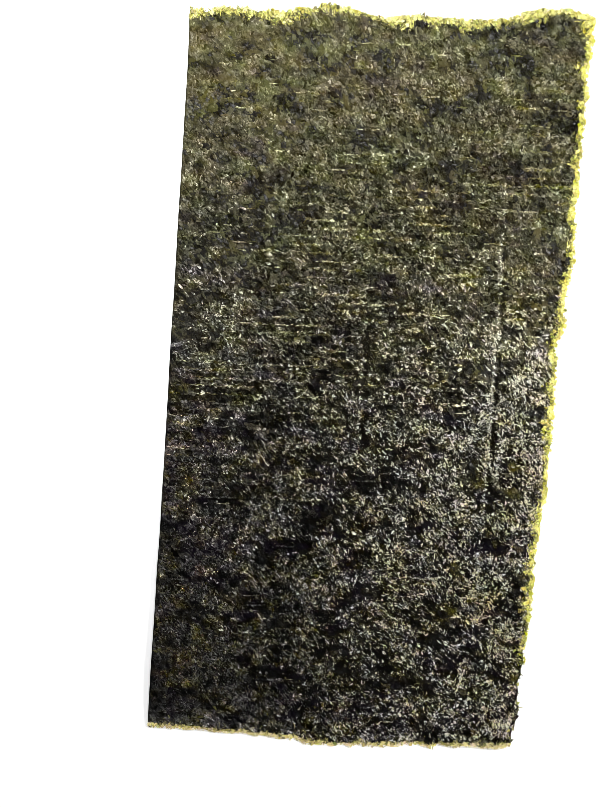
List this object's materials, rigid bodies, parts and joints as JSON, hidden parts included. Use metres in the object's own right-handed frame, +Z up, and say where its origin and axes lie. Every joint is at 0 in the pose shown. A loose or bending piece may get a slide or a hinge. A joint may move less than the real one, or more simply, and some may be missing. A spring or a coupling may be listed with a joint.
{
  "type": "nori sheet",
  "caption": "Thin half-cut sheet of pressed, dried seaweed with one straight cut side and ragged margins, lying flat with a lifted corner.",
  "frame": {"origin": "middle of the sheet's footprint, on the surface that it rests on", "axes": "+X across the sheet, from the straight cut side to the ragged side; +Y along its length, towards the lifted corner's end; +Z up, out of the upper face"},
  "size_m": [0.102, 0.194, 0.0036],
  "materials": {
    "seaweed": "black-green pressed seaweed flakes with a dull sheen, olive and purple-brown patches, thin yellow-green margins"
  },
  "bodies": {
    "root": {"nori_sheet": "seaweed"}
  },
  "joints": []
}
